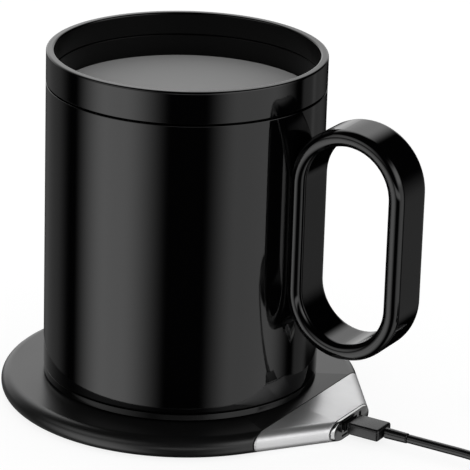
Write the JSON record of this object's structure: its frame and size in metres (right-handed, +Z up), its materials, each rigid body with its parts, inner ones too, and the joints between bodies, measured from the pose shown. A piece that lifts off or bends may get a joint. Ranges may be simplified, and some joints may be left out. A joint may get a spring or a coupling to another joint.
{
  "type": "self heating mug",
  "caption": "Cylindrical heated mug with a loop handle and a drop-in lid, on a round charging coaster with a tapered tail, plug and supply lead.",
  "frame": {"origin": "on the mug's axis at the underside of the coaster's pad, which stands on the table", "axes": "+X along the handle and the coaster's tail, +Z up along the mug's axis"},
  "size_m": [0.2427, 0.115, 0.1144],
  "materials": {
    "gloss_black": "high gloss black",
    "body_black": "high gloss black coating",
    "base_black": "satin black",
    "matte_black": "fine matte black",
    "end_face": "smooth metallised",
    "lid": "satin grey",
    "liner": "smooth dark coating",
    "silver": "satin silver",
    "silicone": "matte silicone",
    "rubber": "smooth satin black",
    "plug": "satin black",
    "steel": "bright",
    "aluminium": "turned",
    "brass": "plated",
    "copper": "enamelled copper wire",
    "ferrite": "sintered",
    "board": "solder mask",
    "chip": "moulded",
    "battery": "shrink wrap",
    "felt": "fibre insulation",
    "film": "polyimide film",
    "usb_tongue": "white moulded"
  },
  "bodies": {
    "coaster": {"coaster_pad": "silicone", "coaster_base": "matte_black", "coaster_housing": "base_black", "tail_sleeve": "silver", "socket_block": "end_face", "coaster_screw_1": "steel", "coaster_screw_2": "steel", "coaster_screw_3": "steel", "coaster_screw_4": "steel", "transmit_coil": "copper", "coaster_ferrite": "ferrite", "coaster_board": "board", "coaster_inductor": "ferrite", "coaster_chip": "chip", "socket_pin_1": "brass", "socket_pin_2": "brass"},
    "mug": {"outer_shell": "body_black", "rim_collar": "gloss_black", "inner_cup": "liner", "handle_loop": "gloss_black", "handle_screw_1": "steel", "handle_screw_2": "steel", "base_cap": "gloss_black", "base_gasket": "silicone", "foot_ring": "silicone", "base_screw_1": "steel", "base_screw_2": "steel", "base_screw_3": "steel", "dome_switch": "steel", "carrier": "matte_black", "receive_coil": "copper", "receive_ferrite": "ferrite", "battery_pack": "battery", "control_board": "board", "control_chip": "chip", "heat_shield": "felt", "pressure_plate": "aluminium", "temperature_sensor": "brass", "heater_film": "film"},
    "lid": {"lid_disc": "lid", "lid_gasket": "silicone"},
    "button": {"power_button": "matte_black"},
    "lead": {"plug_insert": "gloss_black", "plug_body": "plug", "plug_relief": "rubber", "supply_cord": "rubber", "cord_coil": "rubber", "cord_tie": "rubber", "usb_relief": "rubber", "usb_plug_body": "plug", "usb_plug_shell": "steel", "usb_tongue": "usb_tongue"}
  },
  "joints": [
    {"name": "mug_lift", "type": "slide", "parent": "coaster", "child": "mug", "axis": [0, 0, 1], "range_m": [0, 0.15]},
    {"name": "lid_lift", "type": "slide", "parent": "mug", "child": "lid", "axis": [0, 0, 1], "range_m": [0, 0.06]},
    {"name": "button_press", "type": "slide", "parent": "mug", "child": "button", "axis": [0, 0, 1], "range_m": [0, 0.0005], "stiffness_N_per_m": 3000},
    {"name": "plug_pull", "type": "slide", "parent": "coaster", "child": "lead", "axis": [1, 0, 0], "range_m": [0, 0.02]}
  ]
}
